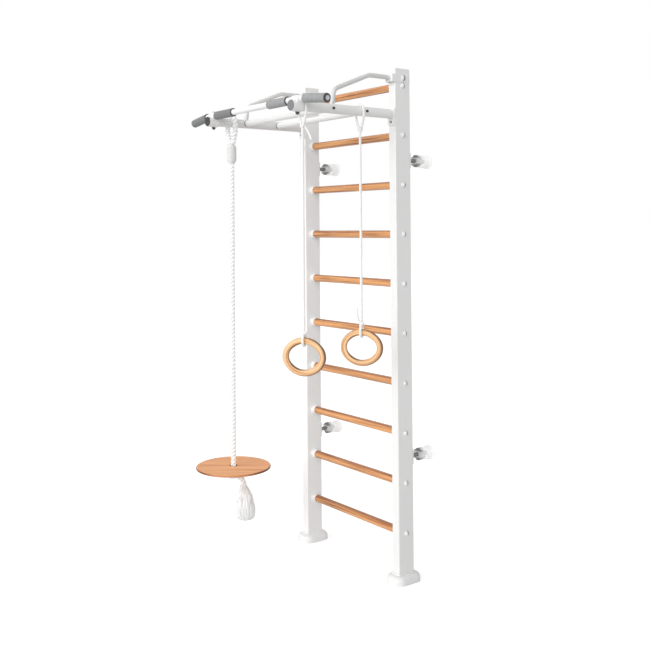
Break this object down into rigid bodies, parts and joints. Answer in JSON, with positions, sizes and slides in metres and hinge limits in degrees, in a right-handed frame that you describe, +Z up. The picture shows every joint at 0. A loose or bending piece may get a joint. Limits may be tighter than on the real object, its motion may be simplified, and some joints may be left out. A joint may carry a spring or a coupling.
{
  "type": "wall bars",
  "caption": "Steel and wood wall bars with a pull-up bar on arms, a disc swing and oval rings, held off the wall by spindles with star knobs.",
  "frame": {"origin": "where the wall's plane meets the floor, midway between the uprights", "axes": "+Z up, +Y into the wall, the front faces -Y, +X to the right as seen from the front"},
  "size_m": [0.9808, 0.729, 2.065],
  "materials": {
    "white_paint": "satin white powder coat on steel tube",
    "white_plastic": "white moulded plastic",
    "light_plastic": "pale gray moulded plugs",
    "gray_plastic": "gray moulded caps",
    "knob_plastic": "gray moulded star knobs",
    "gray_foam": "gray foam sleeves, fine pores",
    "black_screws": "black screws and cap nuts",
    "white_bolts": "white domed bolts",
    "zinc": "bright zinc plated steel",
    "rung_wood": "lacquered beech rungs",
    "light_wood": "lacquered birch plywood and bent rings",
    "swing_rope": "thick twisted off-white rope",
    "ring_cord": "white braided cord"
  },
  "bodies": {
    "frame": {"left_upright": "white_paint", "right_upright": "white_paint", "top_caps": "white_plastic", "left_foot": "white_plastic", "right_foot": "white_plastic", "rung_collars": "white_plastic", "rung_bolts": "white_plastic", "left_arm": "white_paint", "right_arm": "white_paint", "arm_plates": "white_paint", "arm_plate_bolts": "zinc", "arm_end_caps": "gray_plastic", "front_cross_tube": "white_paint", "rear_cross_tube": "white_paint", "cross_tube_inserts": "zinc", "cross_tube_bolts": "black_screws", "pull_up_bar": "white_paint", "bar_end_plugs": "light_plastic", "left_outer_grip": "gray_foam", "left_inner_grip": "gray_foam", "right_inner_grip": "gray_foam", "right_outer_grip": "gray_foam", "bar_clamps": "white_plastic", "bar_clamp_bolts": "black_screws", "left_brace": "white_paint", "right_brace": "white_paint", "left_brace_bracket": "white_paint", "right_brace_bracket": "white_paint", "bracket_bolts": "white_bolts", "brace_set_screws": "zinc", "fixing_plates": "white_paint", "plate_screws": "zinc", "fixing_spindles": "zinc", "wall_flanges": "white_plastic", "rung_01": "rung_wood", "rung_02": "rung_wood", "rung_03": "rung_wood", "rung_04": "rung_wood", "rung_05": "rung_wood", "rung_06": "rung_wood", "rung_07": "rung_wood", "rung_08": "rung_wood", "rung_09": "rung_wood", "rung_10": "rung_wood"},
    "lower_left_knob_body": {"lower_left_knob": "knob_plastic"},
    "lower_right_knob_body": {"lower_right_knob": "knob_plastic"},
    "upper_left_knob_body": {"upper_left_knob": "knob_plastic"},
    "upper_right_knob_body": {"upper_right_knob": "knob_plastic"},
    "swing_hitch_body": {"swing_hitch": "swing_rope"},
    "swing_rope_body": {"swing_rope": "swing_rope"},
    "swing_disc_body": {"swing_disc": "light_wood", "swing_tail": "swing_rope"},
    "front_loop_body": {"front_ring_loop": "ring_cord"},
    "front_cord_body": {"front_ring_cord": "ring_cord"},
    "front_ring_body": {"front_ring": "light_wood", "front_ring_hitch": "ring_cord"},
    "rear_loop_body": {"rear_ring_loop": "ring_cord"},
    "rear_cord_body": {"rear_ring_cord": "ring_cord"},
    "rear_ring_body": {"rear_ring": "light_wood", "rear_ring_hitch": "ring_cord"}
  },
  "joints": [
    {"name": "lower_left_knob_turn", "type": "hinge", "parent": "frame", "child": "lower_left_knob_body", "pos_m": [-0.31, -0.07, 0.495], "axis": [0, 1, 0], "continuous": true},
    {"name": "lower_right_knob_turn", "type": "hinge", "parent": "frame", "child": "lower_right_knob_body", "pos_m": [0.31, -0.07, 0.495], "axis": [0, 1, 0], "continuous": true},
    {"name": "upper_left_knob_turn", "type": "hinge", "parent": "frame", "child": "upper_left_knob_body", "pos_m": [-0.31, -0.07, 1.695], "axis": [0, 1, 0], "continuous": true},
    {"name": "upper_right_knob_turn", "type": "hinge", "parent": "frame", "child": "upper_right_knob_body", "pos_m": [0.31, -0.07, 1.695], "axis": [0, 1, 0], "continuous": true},
    {"name": "swing_sideways", "type": "hinge", "parent": "frame", "child": "swing_hitch_body", "pos_m": [-0.31, -0.569, 1.88], "axis": [0, 1, 0], "range_deg": [-20, 20]},
    {"name": "swing_fore_and_aft", "type": "hinge", "parent": "swing_hitch_body", "child": "swing_rope_body", "pos_m": [-0.31, -0.569, 1.769], "axis": [1, 0, 0], "range_deg": [-25, 7]},
    {"name": "disc_turn", "type": "hinge", "parent": "swing_rope_body", "child": "swing_disc_body", "pos_m": [-0.31, -0.569, 0.398], "axis": [0, 0, 1], "continuous": true},
    {"name": "front_ring_sideways", "type": "hinge", "parent": "frame", "child": "front_loop_body", "pos_m": [0.31, -0.634, 1.88], "axis": [0, 1, 0], "range_deg": [-20, 20]},
    {"name": "front_ring_fore_and_aft", "type": "hinge", "parent": "front_loop_body", "child": "front_cord_body", "pos_m": [0.31, -0.634, 1.809], "axis": [1, 0, 0], "range_deg": [-25, 5]},
    {"name": "front_ring_twist", "type": "hinge", "parent": "front_cord_body", "child": "front_ring_body", "pos_m": [0.31, -0.634, 1.0305], "axis": [0, 0, 1], "range_deg": [-90, 90]},
    {"name": "rear_ring_sideways", "type": "hinge", "parent": "frame", "child": "rear_loop_body", "pos_m": [0.31, -0.357, 1.88], "axis": [0, 1, 0], "range_deg": [-20, 20]},
    {"name": "rear_ring_fore_and_aft", "type": "hinge", "parent": "rear_loop_body", "child": "rear_cord_body", "pos_m": [0.31, -0.357, 1.809], "axis": [1, 0, 0], "range_deg": [-8, 4]},
    {"name": "rear_ring_twist", "type": "hinge", "parent": "rear_cord_body", "child": "rear_ring_body", "pos_m": [0.31, -0.357, 1.0475], "axis": [0, 0, 1], "range_deg": [-90, 90]}
  ]
}
